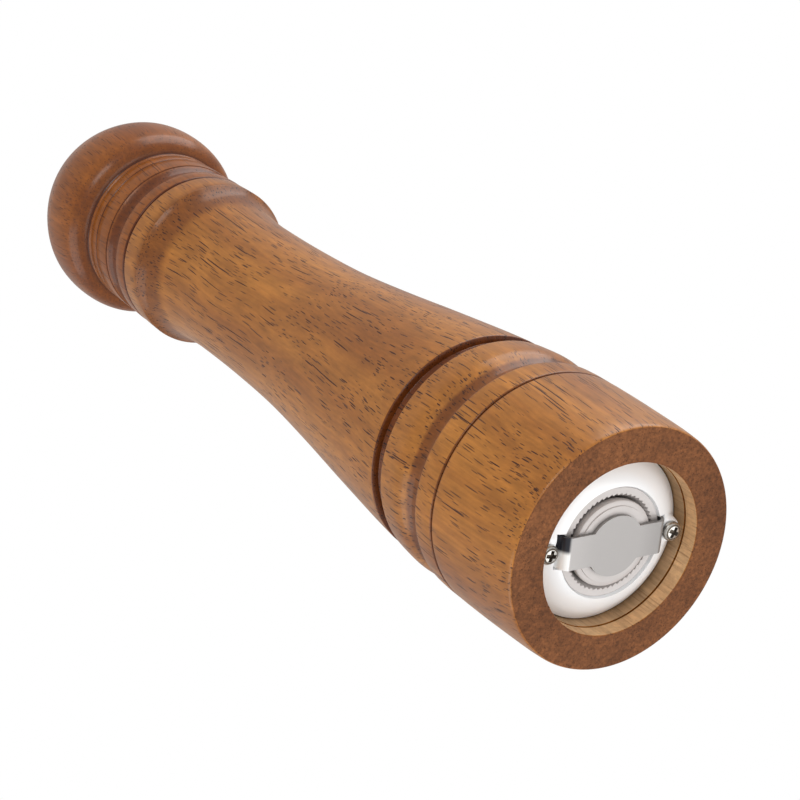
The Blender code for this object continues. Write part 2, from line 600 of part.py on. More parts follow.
# ---- spring between hub and thrust washer ----
wire = bpy.data.curves.new("adjuster_spring", "CURVE")
wire.dimensions = "3D"
wire.bevel_depth = WIRE_R * MM
wire.bevel_resolution = 1
wire.use_fill_caps = True
coil = wire.splines.new("POLY")
coil_steps = 64
coil.points.add(coil_steps)
coil_low = SPRING_LOW + WIRE_R
coil_rise = SPRING_HIGH - WIRE_R - coil_low
for step in range(coil_steps + 1):
    share = step / coil_steps
    angle = 2 * math.pi * SPRING_TURNS * share
    spot = Vector((SPRING_R * math.cos(angle), SPRING_R * math.sin(angle), coil_low + coil_rise * share)) * MM
    coil.points[step].co = (*spot, 1)
wire.materials.append(material("spring_wire", (0.70, 0.70, 0.71), 1.0, 0.3))
bpy.context.scene.collection.objects.link(bpy.data.objects.new("adjuster_spring", wire))

# ---- thrust washer on top of the spring, under the spider's boss ----
washer_steel = material("thrust_washer_steel", (0.66, 0.66, 0.66), 1.0, 0.35)
thrust_outline = washer_outline(0, SPRING_R + WASHER_RIM, WASHER_Z, WASHER_Z + WASHER_T)
washer = lathe("thrust_washer", thrust_outline, washer_steel, FINE_FACETS)
cut(washer, square_bar(SQUARE_HOLE, WASHER_Z - 1, WASHER_Z + WASHER_T + 1))

# ---- drive shaft: square bar, round neck and foot for the clip, round threaded end under the nut ----
shaft_alloy = material("shaft_alloy", (0.80, 0.80, 0.81), 1.0, 0.32)
shaft = square_bar(SHAFT_SIDE, SQUARE_Z, THREAD_Z, "drive_shaft", shaft_alloy)
join(shaft, lathe("foot", [
    (0, ROTOR_Z), (THREAD_R - 0.2, ROTOR_Z), (THREAD_R, ROTOR_Z + 0.2), (THREAD_R, CLIP_Z - GAP),
    (NECK_CUT_R, CLIP_Z - GAP), (NECK_CUT_R, SQUARE_Z + 0.5), (0, SQUARE_Z + 0.5),
], facets=FINE_FACETS))
join(shaft, lathe("thread", [
    (0, THREAD_Z - 0.5), (THREAD_R, THREAD_Z - 0.5), (THREAD_R, SHAFT_TOP - 0.6),
    (THREAD_R - 0.6, SHAFT_TOP), (0, SHAFT_TOP),
], facets=FINE_FACETS))

# ---- drive plate under the tenon, whose square hole turns the shaft, and its two screws ----
drive_steel = material("drive_plate_steel", (0.70, 0.70, 0.70), 1.0, 0.35)
drive_top = DRIVE_PLATE_Z + DRIVE_PLATE_T
drive = lathe("drive_plate", washer_outline(0, DRIVE_PLATE_R, DRIVE_PLATE_Z, drive_top), drive_steel)
cut(drive, square_bar(SQUARE_HOLE, DRIVE_PLATE_Z - 1, drive_top + 1))
for number, side in ((1, 1), (2, -1)):
    y = side * DRIVE_SCREW_Y
    cut(drive, rod(DRIVE_SHANK_R + GAP, DRIVE_PLATE_Z - 1, drive_top + 1, y=y))
    zinc = material(f"drive_screw_zinc_{number}", (0.62, 0.60, 0.54), 1.0, 0.30)
    screw(f"drive_screw_{number}", 0, y, DRIVE_PLATE_Z - GAP, DRIVE_HEAD_R, DRIVE_HEAD_H,
          DRIVE_SHANK_R, DRIVE_LENGTH, zinc)

# ---- washer and knurled nut on top of the head ----
washer_finish = material("nut_washer_steel", (0.70, 0.70, 0.71), 1.0, 0.25)
nut_bore_r = THREAD_R + GAP
washer_r = NUT_R - NUT_WASHER_INSET
washer_top = NUT_WASHER_Z + NUT_WASHER_T
small_washer = washer_outline(nut_bore_r + 0.2, washer_r, NUT_WASHER_Z, washer_top)
lathe("nut_washer", small_washer, washer_finish, FINE_FACETS)
nut_chrome = material("nut_chrome", (0.85, 0.85, 0.86), 1.0, 0.12)
ceiling = NUT_TOP - NUT_TOP_T
nut = toothed_tube("top_nut", [
    (nut_bore_r, NUT_Z, 0, 0), (NUT_R - 0.7, NUT_Z, 0, 0), (NUT_R - 0.1, NUT_Z + 0.5, -KNURL / 2, 0),
    (NUT_R, NUT_Z + 1.0, -KNURL, 0), (NUT_R, NUT_TOP - 2.3, -KNURL, 0), (NUT_R - 0.7, NUT_TOP - 1.7, 0, 0),
    (NUT_R - 2.2, NUT_TOP - 0.5, 0, 0), (nut_bore_r, NUT_TOP - 0.1, 0, 0),
], KNURLS, nut_chrome)
join(nut, lathe("cap", [
    (0, ceiling), (nut_bore_r + 0.5, ceiling), (nut_bore_r + 0.5, NUT_TOP - 0.3),
    (nut_bore_r - 0.6, NUT_TOP), (0, NUT_TOP),
], facets=FINE_FACETS))

for obj in bpy.data.objects:
    if obj.type == "MESH":
        obj.data.shade_smooth()
        obj.data.set_sharp_from_angle(angle=math.radians(35))
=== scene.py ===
"""Looks of a turned wooden pepper mill, built round its CAD frame. Metres, +Z up, the mill's axis on Z."""

import math

import bmesh
import bpy
from mathutils import Matrix, Vector


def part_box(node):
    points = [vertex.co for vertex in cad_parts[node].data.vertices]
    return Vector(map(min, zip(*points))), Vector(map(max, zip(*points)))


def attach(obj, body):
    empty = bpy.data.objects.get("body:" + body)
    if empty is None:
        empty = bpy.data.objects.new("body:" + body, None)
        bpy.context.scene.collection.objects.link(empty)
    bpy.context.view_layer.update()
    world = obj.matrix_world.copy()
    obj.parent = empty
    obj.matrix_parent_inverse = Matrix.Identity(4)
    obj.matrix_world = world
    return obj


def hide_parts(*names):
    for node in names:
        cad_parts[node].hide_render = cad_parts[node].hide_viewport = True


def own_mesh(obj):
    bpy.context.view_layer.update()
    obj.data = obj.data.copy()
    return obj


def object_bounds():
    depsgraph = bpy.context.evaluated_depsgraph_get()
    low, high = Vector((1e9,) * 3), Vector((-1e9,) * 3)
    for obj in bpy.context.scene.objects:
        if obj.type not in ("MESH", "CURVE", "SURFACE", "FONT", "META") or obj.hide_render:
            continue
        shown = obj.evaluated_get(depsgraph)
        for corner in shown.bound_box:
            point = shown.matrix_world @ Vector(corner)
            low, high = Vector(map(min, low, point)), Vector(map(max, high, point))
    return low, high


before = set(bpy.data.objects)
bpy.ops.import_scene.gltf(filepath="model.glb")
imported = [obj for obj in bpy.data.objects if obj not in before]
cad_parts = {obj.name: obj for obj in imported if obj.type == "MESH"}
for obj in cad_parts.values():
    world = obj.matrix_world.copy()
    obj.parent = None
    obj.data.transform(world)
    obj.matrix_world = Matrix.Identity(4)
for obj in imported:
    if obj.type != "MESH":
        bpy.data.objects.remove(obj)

frame_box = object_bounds()
mm = 0.001

# ---- Studio ----
# The mill is looked at from below its grinder, in an even white room with four softboxes.
# The floor is a plain pale sheet that fades to white. It is seen only from above, so it never hides the grinder.
mill_low, mill_high = (Vector(corner) for corner in frame_box)
middle = (mill_low + mill_high) / 2

camera_data = bpy.data.cameras.new("camera")
camera_data.sensor_width = 36
camera_data.lens = 121.5
camera_data.clip_start = 0.02
camera_data.clip_end = 20
camera = bpy.data.objects.new("camera", camera_data)
bpy.context.scene.collection.objects.link(camera)
camera_place = Vector((-0.33266, -0.24125, -0.40043))
camera_side = Vector((0.84396, -0.09232, -0.5284))
camera_up = Vector((0.12956, -0.92083, 0.36782))
camera.matrix_world = Matrix.Translation(camera_place) @ Matrix(
    (camera_side, camera_up, camera_side.cross(camera_up))
).transposed().to_4x4()
bpy.context.scene.camera = camera
bpy.context.scene.view_settings.view_transform = "Standard"


def softbox(name, place, width, power):
    """A square softbox that faces the middle of the mill."""
    lamp = bpy.data.lights.new(name, "AREA")
    lamp.size = width
    lamp.energy = power
    box = bpy.data.objects.new(name, lamp)
    bpy.context.scene.collection.objects.link(box)
    box.location = place
    box.rotation_euler = (middle - Vector(place)).to_track_quat("-Z", "Y").to_euler()
    box.visible_camera = False
    return box


def seen_from(right, up, towards, distance=0.9):
    """A place round the mill, told by the way the camera sees it."""
    way = camera_side * right + camera_up * up + camera_side.cross(camera_up) * towards
    return middle + way.normalized() * distance


softbox("softbox_above", seen_from(0.45, 0.9, -0.12), 0.8, 7)
softbox("softbox_below", seen_from(-0.85, -0.75, 0.25), 0.8, 4)
softbox("softbox_front", seen_from(-0.3, 0.5, 1.0, 1.2), 0.5, 4)
softbox("softbox_grinder", Vector((0.2, 0.14, -0.75)), 0.9, 6)

room = bpy.data.worlds.new("white_room")
bpy.context.scene.world = room
room.use_nodes = True
room_nodes = room.node_tree.nodes
room_light = room_nodes["Background"]
room_light.inputs["Color"].default_value = (1.0, 0.99, 0.98, 1)
room_light.inputs["Strength"].default_value = 0.62
room_wall = room_nodes.new("ShaderNodeBackground")
room_wall.inputs["Color"].default_value = (1, 1, 1, 1)
room_ray = room_nodes.new("ShaderNodeLightPath")
room_mix = room_nodes.new("ShaderNodeMixShader")
room_links = room.node_tree.links
room_links.new(room_ray.outputs["Is Camera Ray"], room_mix.inputs[0])
room_links.new(room_light.outputs[0], room_mix.inputs[1])
room_links.new(room_wall.outputs[0], room_mix.inputs[2])
room_links.new(room_mix.outputs[0], room_nodes["World Output"].inputs["Surface"])


def shader_tools(name, colour=(0.8, 0.8, 0.8), metallic=0.0, roughness=0.5, **sockets):
    """A material, its shader, and a function that adds a node to it and links or sets the node's inputs."""
    made = bpy.data.materials.new(name)
    made.use_nodes = True
    tree = made.node_tree
    shader = tree.nodes["Principled BSDF"]
    shader.inputs["Base Color"].default_value = (*colour, 1)
    shader.inputs["Metallic"].default_value = metallic
    shader.inputs["Roughness"].default_value = roughness
    for socket, value in sockets.items():
        shader.inputs[socket.replace("_", " ").title().replace("Ior", "IOR")].default_value = value

    def fill(node, inputs):
        for socket, value in inputs.items():
            if isinstance(value, bpy.types.NodeSocket):
                tree.links.new(value, node.inputs[socket])
            else:
                node.inputs[socket].default_value = value

    def add(kind, inputs=None, **settings):
        node = tree.nodes.new("ShaderNode" + kind)
        for setting, value in settings.items():
            setattr(node, setting, value)
        fill(node, inputs or {})
        return node

    return made, shader, add, fill


def square_sheet(name, half, height):
    """A flat square face, its middle on the mill's axis."""
    shape = bmesh.new()
    bmesh.ops.create_grid(shape, x_segments=1, y_segments=1, size=half)
    bmesh.ops.translate(shape, verts=shape.verts, vec=(0, 0, height))
    mesh = bpy.data.meshes.new(name)
    shape.to_mesh(mesh)
    shape.free()
    sheet = bpy.data.objects.new(name, mesh)
    bpy.context.scene.collection.objects.link(sheet)
    return sheet


floor_half = 3.0
floor_drop = 0.2 * mm
fade_start, fade_end = 0.3, 0.7
floor = square_sheet("floor", floor_half, mill_low.z - floor_drop)
floor_paint, floor_shader, add, fill = shader_tools("floor_paint", (0.88, 0.88, 0.87), 0.0, 0.9)
floor_out = floor_paint.node_tree.nodes["Material Output"]
under = add("NewGeometry").outputs["Backfacing"]
ray = add("LightPath").outputs["Is Camera Ray"]
unseen = add("Math", {0: 1.0, 1: ray}, operation="SUBTRACT").outputs[0]
hidden = add("Math", {0: under, 1: unseen}, operation="MAXIMUM").outputs[0]
clear = add("BsdfTransparent").outputs[0]
away = add("VectorMath", {0: add("TexCoord").outputs["Object"]}, operation="LENGTH").outputs["Value"]
away = add("MapRange", {0: away, 1: fade_start, 2: fade_end}, interpolation_type="SMOOTHSTEP").outputs[0]
white = add("Emission", {"Color": (1, 1, 1, 1), "Strength": 1.0}).outputs[0]
sweep = add("MixShader", {0: away, 1: floor_shader.outputs[0], 2: white}).outputs[0]
shown = add("MixShader", {0: hidden, 1: sweep, 2: clear}).outputs[0]
fill(floor_out, {"Surface": shown})
floor.data.materials.append(floor_paint)

# ---- Base ring ----
# The wide wooden foot of the mill, turned and lacquered outside. Its underside is bare end grain, sanded.
# It is bored for the grinder, and a rebate from above takes the body's spigot, glued in.


def through(points, steps=6):
    """A smooth run through the given points (radius, height)."""
    run = []
    for i in range(len(points) - 1):
        before = points[max(i - 1, 0)]
        start, end = points[i], points[i + 1]
        after = points[min(i + 2, len(points) - 1)]
        for step in range(steps):
            t = step / steps
            run.append(tuple(
                0.5 * (2 * b + (c - a) * t + (2 * a - 5 * b + 4 * c - d) * t ** 2
                       + (3 * b - a - 3 * c + d) * t ** 3)
                for a, b, c, d in zip(before, start, end, after)
            ))
    return run + [points[-1]]


def rounded(corner, before, after, radius, steps=4):
    """A corner's round edge, between the points before and after it."""
    corner, before, after = Vector(corner), Vector(before), Vector(after)
    start = corner + (before - corner).normalized() * radius
    end = corner + (after - corner).normalized() * radius
    shares = [i / steps for i in range(steps + 1)]
    return [tuple(start.lerp(corner, t).lerp(corner.lerp(end, t), t)) for t in shares]


def turned(outline, facets=160):
    """A shape spun about Z from a closed outline in millimetres, or from one that starts and ends on the axis."""
    shape = bmesh.new()
    points = [shape.verts.new((r * mm, 0, z * mm)) for r, z in outline]
    for a, b in zip(points, points[1:]):
        shape.edges.new((a, b))
    if outline[0][0] > 0:
        shape.edges.new((points[-1], points[0]))
    bmesh.ops.spin(shape, geom=shape.verts[:] + shape.edges[:], cent=(0, 0, 0), axis=(0, 0, 1),
                   angle=2 * math.pi, steps=facets, use_merge=True)
    bmesh.ops.remove_doubles(shape, verts=shape.verts, dist=0.002 * mm)
    return shape


def piece(name, shape, body, nodes, finishes, crisp=35):
    """Makes a shape a piece of the mill, which rides on a body and stands for the CAD nodes."""
    bmesh.ops.recalc_face_normals(shape, faces=shape.faces)
    mesh = bpy.data.meshes.new(name)
    shape.to_mesh(mesh)
    shape.free()
    mesh.shade_smooth()
    mesh.set_sharp_from_angle(angle=math.radians(crisp))
    made = bpy.data.objects.new(name, mesh)
    bpy.context.scene.collection.objects.link(made)
    for finish in finishes:
        mesh.materials.append(finish)
    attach(made, body)
    if nodes:
        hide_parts(*nodes)
    return made


def wood(name, pale, deep, pore, roughness, coat, pore_strength=1.0, seed=0.0, speckle=0.0, stain_and_shade_bands=()):
    """Porous hardwood: cut vessels, growth rings and fibres, with darker bands: stain at joints and scribed lines,
    painted shade in hollows.

    A band is (lowest height, highest height, width of its soft edge, amount), in millimetres but for the amount.
    """
    made, shader, add, fill = shader_tools(name, pale, 0.0, roughness, coat_weight=coat, coat_roughness=0.16,
                                           specular_ior_level=0.22)
    stain_and_shade_brown = (0.34, 0.2, 0.13)

    def calc(operation, a, b=0.0):
        return add("Math", {0: a, 1: b}, operation=operation).outputs[0]

    def tint(colour, other, amount, blend="MIX"):
        mixed = add("Mix", data_type="RGBA", blend_type=blend)
        fill(mixed, {0: amount, 6: colour, 7: other})
        return mixed.outputs[2]

    def ramp(value, low, high):
        return add("MapRange", {0: value, 1: low, 2: high}, interpolation_type="SMOOTHSTEP").outputs[0]

    position = add("TexCoord").outputs["Object"]
    grain = add("Mapping", {0: position, 1: (seed, -seed, seed), 2: (0.022, -0.03, 0)}).outputs[0]
    sway = add("TexNoise", {"Vector": grain, "Scale": 26.0, "Detail": 1.0}).outputs["Color"]
    sway = add("VectorMath", {0: sway, 1: (0.5, 0.5, 0.5)}, operation="SUBTRACT").outputs[0]
    sway = add("VectorMath", {0: sway, 1: (0.005, 0.005, 0)}, operation="MULTIPLY").outputs[0]
    grain = add("VectorMath", {0: grain, 1: sway}, operation="ADD").outputs[0]

    pith = add("Mapping", {0: grain, 1: (0.047, 0.034, 0), 3: (1, 1, 0.04)}).outputs[0]
    ring = calc("MULTIPLY", add("VectorMath", {0: pith}, operation="LENGTH").outputs["Value"], 240.0)
    uneven = add("TexNoise", {"Vector": grain, "Scale": 60.0, "Detail": 2.0}).outputs[0]
    ring = calc("FRACT", calc("ADD", ring, calc("MULTIPLY", uneven, 1.4)))
    late = calc("MULTIPLY", ramp(ring, 0.25, 0.85), calc("SUBTRACT", 1.0, ramp(ring, 0.9, 1.0)))

    broad = add("Mapping", {0: grain, 3: (55, 55, 9)}).outputs[0]
    broad = add("TexNoise", {"Vector": broad, "Scale": 1.0, "Detail": 3.0}).outputs[0]
    fibre = add("Mapping", {0: grain, 3: (1500, 1500, 45)}).outputs[0]
    fibre = add("TexNoise", {"Vector": fibre, "Scale": 1.0, "Detail": 2.0}).outputs[0]

    def vessels(across, along, thin, thick, crowd_low, crowd_high):
        spacing = (1 / (across * mm), 1 / (across * mm), 1 / (along * mm))
        cells = add("Mapping", {0: grain, 3: spacing}).outputs[0]
        cell = add("TexVoronoi", {"Vector": cells, "Scale": 1.0})
        pick = add("SeparateColor", {0: cell.outputs["Color"]}).outputs[0]
        crowd = add("Mapping", {0: grain, 1: (0.3, 0.1, 0.7), 3: (150, 150, 45)}).outputs[0]
        crowd = add("TexNoise", {"Vector": crowd, "Scale": 1.0, "Detail": 1.0}).outputs[0]
        crowd = calc("ADD", crowd, calc("MULTIPLY", late, 0.12))
        width = calc("ADD", calc("MULTIPLY", pick, thick - thin), thin)
        size = calc("MULTIPLY", width, ramp(crowd, crowd_low, crowd_high))
        return ramp(calc("SUBTRACT", size, cell.outputs["Distance"]), -0.015, 0.03)

    long_vessels = vessels(0.66, 55.0, 0.1, 0.29, 0.34, 0.47)
    short_vessels = vessels(0.5, 9.0, 0.16, 0.33, 0.33, 0.45)

    colour = tint((*pale, 1), (*deep, 1), ramp(broad, 0.3, 0.72))
    colour = tint(colour, (*deep, 1), calc("MULTIPLY", late, 0.28))
    shade = calc("ADD", calc("MULTIPLY", fibre, 0.7), 0.66)
    blotch = add("Mapping", {0: grain, 3: (420, 420, 160)}).outputs[0]
    blotch = add("TexNoise", {"Vector": blotch, "Scale": 1.0, "Detail": 4.0, "Roughness": 0.65}).outputs[0]
    cloud = add("MapRange", {0: blotch, 1: 0.3, 2: 0.7, 3: 0.84, 4: 1.16}).outputs[0]
    shade = calc("MULTIPLY", shade, cloud)
    if speckle:
        mottle = add("TexNoise", {"Vector": grain, "Scale": 1100.0, "Detail": 4.0, "Roughness": 0.7}).outputs[0]
        specks = add("MapRange", {0: mottle, 1: 0.25, 2: 0.75, 3: 1 - speckle, 4: 1 + speckle}).outputs[0]
        shade = calc("MULTIPLY", shade, specks)
    colour = tint(colour, add("CombineColor", {0: shade, 1: shade, 2: shade}).outputs[0], 1.0, "MULTIPLY")
    colour = tint(colour, (*pore, 1), calc("MULTIPLY", short_vessels, pore_strength * 0.8))
    colour = tint(colour, (*pore, 1), calc("MULTIPLY", long_vessels, pore_strength))
    height = add("SeparateXYZ", {0: position}).outputs[2]
    # Each band darkens the colour: stain at a joint or scribed line, painted shade in a hollow.
    for low, high, soft, amount in stain_and_shade_bands:
        outside = calc("MAXIMUM", calc("SUBTRACT", low * mm, height), calc("SUBTRACT", height, high * mm))
        stain_and_shade = add("MapRange", {0: outside, 1: soft * mm, 2: 0.0, 4: amount}, interpolation_type="SMOOTHSTEP")
        colour = tint(colour, (*stain_and_shade_brown, 1), stain_and_shade.outputs[0], "MULTIPLY")
    fill(shader, {"Base Color": colour})
    dents = calc("ADD", calc("MULTIPLY", fibre, 0.12), calc("MULTIPLY", long_vessels, -0.8))
    dents = calc("ADD", dents, calc("MULTIPLY", short_vessels, -0.3))
    bump = add("Bump", {"Strength": 0.35, "Distance": 0.08 * mm, "Height": dents}).outputs[0]
    fill(shader, {"Normal": bump})
    fill(shader, {"Roughness": calc("ADD", calc("MULTIPLY", long_vessels, 0.2), roughness)})
    return made


ring_low, ring_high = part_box("base_ring")
ring_r = ring_high.x / mm
ring_h = ring_high.z / mm
body_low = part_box("body")[0].z / mm
mouth_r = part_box("mechanism_plate")[1].x / mm + 0.4
rebate_r = 24.6
edge_round = 0.45
lathe_facets = 192
inner_seam = body_low - 0.3
side_foot = (ring_r - 0.45, 1.6)
base_outline = [
    *rounded((mouth_r, 0), (mouth_r, 2), (mouth_r + 2, 0), edge_round),
    *through([(ring_r - 1.5, 0), (ring_r - 0.85, 0.16), (ring_r - 0.55, 0.7), side_foot], 3),
    *through([side_foot, (ring_r - 0.25, 5), (ring_r - 0.1, 12), (ring_r, 20), (ring_r - 0.02, 27.2)], 3)[1:],
    *rounded((ring_r - 0.1, ring_h), (ring_r, ring_h - 3), (ring_r - 3, ring_h), edge_round),
    (rebate_r, ring_h), (rebate_r, inner_seam), (mouth_r + 0.15, inner_seam), (mouth_r, inner_seam - 0.15),
]
golden, brown, dark_pore = (0.37, 0.142, 0.023), (0.21, 0.066, 0.01), (0.05, 0.014, 0.005)
lacquered = wood("lacquered_base_wood", golden, brown, dark_pore, roughness=0.42, coat=0.25,
                 stain_and_shade_bands=[(ring_h - 0.3, ring_h + 1, 0.3, 0.8)])
end_grain = wood("bare_end_grain", (0.175, 0.064, 0.021), (0.115, 0.04, 0.013), (0.05, 0.018, 0.009),
                 roughness=0.75, coat=0.0, pore_strength=0.6, speckle=0.5)
bore_wall = wood("bare_bore_wood", (0.56, 0.35, 0.18), (0.45, 0.25, 0.115), (0.2, 0.1, 0.05),
                 roughness=0.7, coat=0.0, pore_strength=0.4, speckle=0.15)
base_shape = turned(base_outline, lathe_facets)
base = piece("turned_base", base_shape, "body_unit", ["base_ring"], [lacquered, end_grain, bore_wall])
for face in base.data.polygons:
    if face.center.xy.length < (mouth_r + 0.02) * mm:
        face.material_index = 2
    elif face.normal.z < -0.8 and face.center.z < 1 * mm:
        face.material_index = 1

# ---- Body ----
# One turned piece of the same wood: spigot, plain band, cove, bead, groove, a long waist and a flared shoulder.
# It is bored through for the peppercorns and lacquered outside. Its cove, groove and shoulder are darkened with
# painted shade, and its two joints with a dark stain.
body_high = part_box("body")[1].z / mm
recess_r = mouth_r - 0.1
spigot_r = rebate_r - 0.3
joint = ring_h + 0.3
shelf = 9.3
bore_r = 13.5
pocket_r = 13.9
pocket_top = 29.8
groove_r = 25.6
lower_groove = [(27.6, 52.6), (27.2, 52.85), (groove_r + 0.15, 52.9), (groove_r, 53.1),
                (groove_r, 56.2), (groove_r + 0.15, 56.45), (27.05, 56.7)]
body_outline = [
    (recess_r, body_low), (spigot_r, body_low), (spigot_r, joint),
    *rounded((ring_r - 0.08, joint), (ring_r - 3, joint), (ring_r - 0.1, joint + 3), edge_round),
    *through([(28.78, 33.4), (28.62, 36.2), (28.5, 36.8)], 2),
    *through([(28.2, 37.0), (27.5, 37.45), (27.05, 38.6), (27.05, 40.0), (27.5, 41.6), (28.02, 43.1)], 4),
    *through([(28.02, 43.1), (28.34, 44.9), (28.34, 47), (28.0, 50.6), (27.82, 52.1)], 4)[1:],
    *lower_groove,
    *through([(27.05, 56.7), (27.33, 57.1), (27.2, 58.8), (26.95, 61.5)], 3)[1:],
    *through([(26.95, 61.5), (26.25, 68), (24.25, 85), (21.92, 104), (19.85, 124.5), (18.85, 145.5),
              (18.6, 162.5), (18.75, 169), (19.15, 174.5), (19.9, 178.8), (20.75, 181.4), (21.7, 182.85)], 6)[1:],
    *rounded((21.95, 183.1), (21.7, 182.85), (21.88, 186), 0.2, 2),
    (21.88, 187), (21.75, body_high - 0.8),
    *rounded((21.7, body_high), (21.75, body_high - 1), (20, body_high), 0.55),
    *rounded((bore_r, body_high), (bore_r + 2, body_high), (bore_r, body_high - 2), 0.4),
    (bore_r, pocket_top), (pocket_r, pocket_top), (pocket_r, shelf), (recess_r, shelf),
]
# The cove, groove and shoulder bands are painted shade in those hollows. The joint bands in the list below are
# stain.
cove_painted_shade = (37.3, 41.2, 1.2, 0.75)
groove_painted_shade = (52.75, 56.95, 0.12, 0.95)
shoulder_painted_shade = (177.5, 182, 4.0, 0.65)
body_wood = wood("lacquered_body_wood", golden, brown, dark_pore, roughness=0.42, coat=0.25, stain_and_shade_bands=[
    (joint - 1, joint + 0.2, 0.3, 0.8), cove_painted_shade, groove_painted_shade, shoulder_painted_shade,
    (body_high - 0.4, body_high + 1, 0.3, 0.8),
])
inner_wall = wood("dark_bore_wood", (0.42, 0.27, 0.15), (0.33, 0.2, 0.1), (0.12, 0.06, 0.035),
                  roughness=0.7, coat=0.0, pore_strength=0.35)
body_shape = turned(body_outline, lathe_facets)
body = piece("turned_body", body_shape, "body_unit", ["body"], [body_wood, inner_wall])
for face in body.data.polygons:
    if face.center.xy.length < (recess_r + 0.02) * mm and face.center.z < 20 * mm:
        face.material_index = 1
    elif face.center.xy.length < (bore_r + 0.6) * mm:
        face.material_index = 1

# ---- Head ----
# The turned top of the mill. Its tenon sits in the body's bore, and it is turned by hand to grind.
# The same wood and lacquer: a banded neck with a glossy cove and scribed lines, and a wide mushroom cap.
head_low, head_high = (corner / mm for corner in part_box("head"))
cap_r = head_high.x
neck = body_high + 0.3
tenon_r = 13.1
shaft_bore_r = 4.0
flat_top_r = 9.6
head_outline = [
    (shaft_bore_r, head_low.z), (tenon_r - 0.6, head_low.z), (tenon_r, head_low.z + 0.6), (tenon_r, neck),
    *rounded((21.7, neck), (20, neck), (21.75, neck + 2), 0.55),
    (21.76, 193.5), (21.7, 195.2), (21.55, 195.6), (21.25, 195.7),
    *through([(21.25, 195.7), (20.6, 196.2), (20.2, 197.2), (20.1, 198.5), (20.4, 199.8), (20.95, 200.8),
              (21.35, 201.35)], 4)[1:],
    (21.2, 201.6), (21.5, 201.8), (21.6, 202.4), (21.6, 204.5), (21.52, 207.2), (21.4, 207.45),
    (21.15, 207.65), (21.4, 207.85), (21.5, 208.1), (21.42, 210.6), (21.2, 210.95), (21.1, 211.05),
    *through([(21.1, 211.05), (21.45, 211.4), (21.5, 211.75), (21.35, 212.1), (20.95, 212.45)], 3)[1:],
    *through([(20.95, 212.45), (21.4, 212.95), (22.4, 213.35), (23.6, 214.1), (24.6, 215.2), (25.4, 216.9),
              (25.88, 219.4), (cap_r, 222.3), (25.95, 225.2), (25.5, 228.2), (24.4, 231.5), (22.4, 235.6),
              (19.5, 240), (16, 243.3), (12.6, 245.5), (flat_top_r + 0.5, head_high.z - 0.15),
              (flat_top_r, head_high.z)], 5)[1:],
    *rounded((shaft_bore_r, head_high.z), (shaft_bore_r + 2, head_high.z), (shaft_bore_r, head_high.z - 2), 0.3),
]
# Neck bands: the joint with the body and the two scribed lines are stain. The cove, the crease under the cap and
# the cap's underside next to it are painted shade.
neck_stain_and_shade = [
    (neck - 1, neck + 0.3, 0.3, 0.9), (196.2, 200.6, 0.9, 0.7), (201.45, 201.7, 0.15, 0.8),
    (207.5, 207.8, 0.15, 0.9), (212.2, 212.8, 0.5, 0.9), (213, 215, 2.0, 0.35),
]
head_wood = wood("lacquered_head_wood", (0.27, 0.085, 0.012), (0.17, 0.045, 0.006), (0.04, 0.012, 0.006),
                 roughness=0.4, coat=0.25, pore_strength=0.6, seed=0.13, stain_and_shade_bands=neck_stain_and_shade)
head_shape = turned(head_outline, lathe_facets)
head = piece("turned_head", head_shape, "head_unit", ["head"], [head_wood, inner_wall])
for face in head.data.polygons:
    if face.center.xy.length < (shaft_bore_r + 0.1) * mm:
        face.material_index = 1

# ---- Grinder plate ----
# A dished ring of polished steel sheet that holds the grinder up in its recess.
# It is pressed flat round its two screws, and has a notch on each side for the strap's legs.
plate_low, plate_high = (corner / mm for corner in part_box("mechanism_plate"))
open_r = 13.05
lip_z = 3.75
slope = 0.341
steepening = 0.0449
plate_t = 0.9
screw_x = 16.17
seat_z = 4.55
seat_r = 2.6
notch_half = 4.1
notch_x = 14.2
hole_r = 1.6
seat_slope = 0.5
plate_facets = 240


def dish(r):
    """The height of the dished sheet's face at a radius."""
    out = r - open_r
    return lip_z + slope * out + steepening * out ** 2


def seat(made_of, x):
    """Presses the sheet flat round a screw and opens its hole."""
    for vert in made_of.verts:
        away = (vert.co.xy - Vector((x * mm, 0))).length / mm
        flat = min(max((seat_r + seat_slope - away) / seat_slope, 0), 1)
        vert.co.z += (seat_z * mm - vert.co.z) * flat
    axis = Vector((x * mm, 0))
    inside = [f for f in made_of.faces if (f.calc_center_median().xy - axis).length < hole_r * mm]
    bmesh.ops.delete(made_of, geom=inside, context="FACES")


sheet = bmesh.new()
spokes = 18
line = [sheet.verts.new((r * mm, 0, dish(r) * mm)) for r in
        [open_r + (plate_high.x - open_r) * i / spokes for i in range(spokes + 1)]]
for a, b in zip(line, line[1:]):
    sheet.edges.new((a, b))
bmesh.ops.spin(sheet, geom=sheet.verts[:] + sheet.edges[:], cent=(0, 0, 0), axis=(0, 0, 1),
               angle=2 * math.pi, steps=plate_facets, use_merge=True)
bmesh.ops.remove_doubles(sheet, verts=sheet.verts, dist=0.002 * mm)
for side in (1, -1):
    across_x = ((side * notch_x * mm, 0, 0), (1, 0, 0))
    across_y = ((0, side * notch_half * mm, 0), (0, 1, 0))
    for point, normal in (across_x, across_y):
        bmesh.ops.bisect_plane(sheet, geom=sheet.verts[:] + sheet.edges[:] + sheet.faces[:], dist=0.001 * mm,
                               plane_co=point, plane_no=normal)
in_notch = [f for f in sheet.faces if abs(f.calc_center_median().y) < notch_half * mm
            and abs(f.calc_center_median().x) < notch_x * mm]
bmesh.ops.delete(sheet, geom=in_notch, context="FACES")
for side in (1, -1):
    seat(sheet, side * screw_x)
bmesh.ops.recalc_face_normals(sheet, faces=sheet.faces)
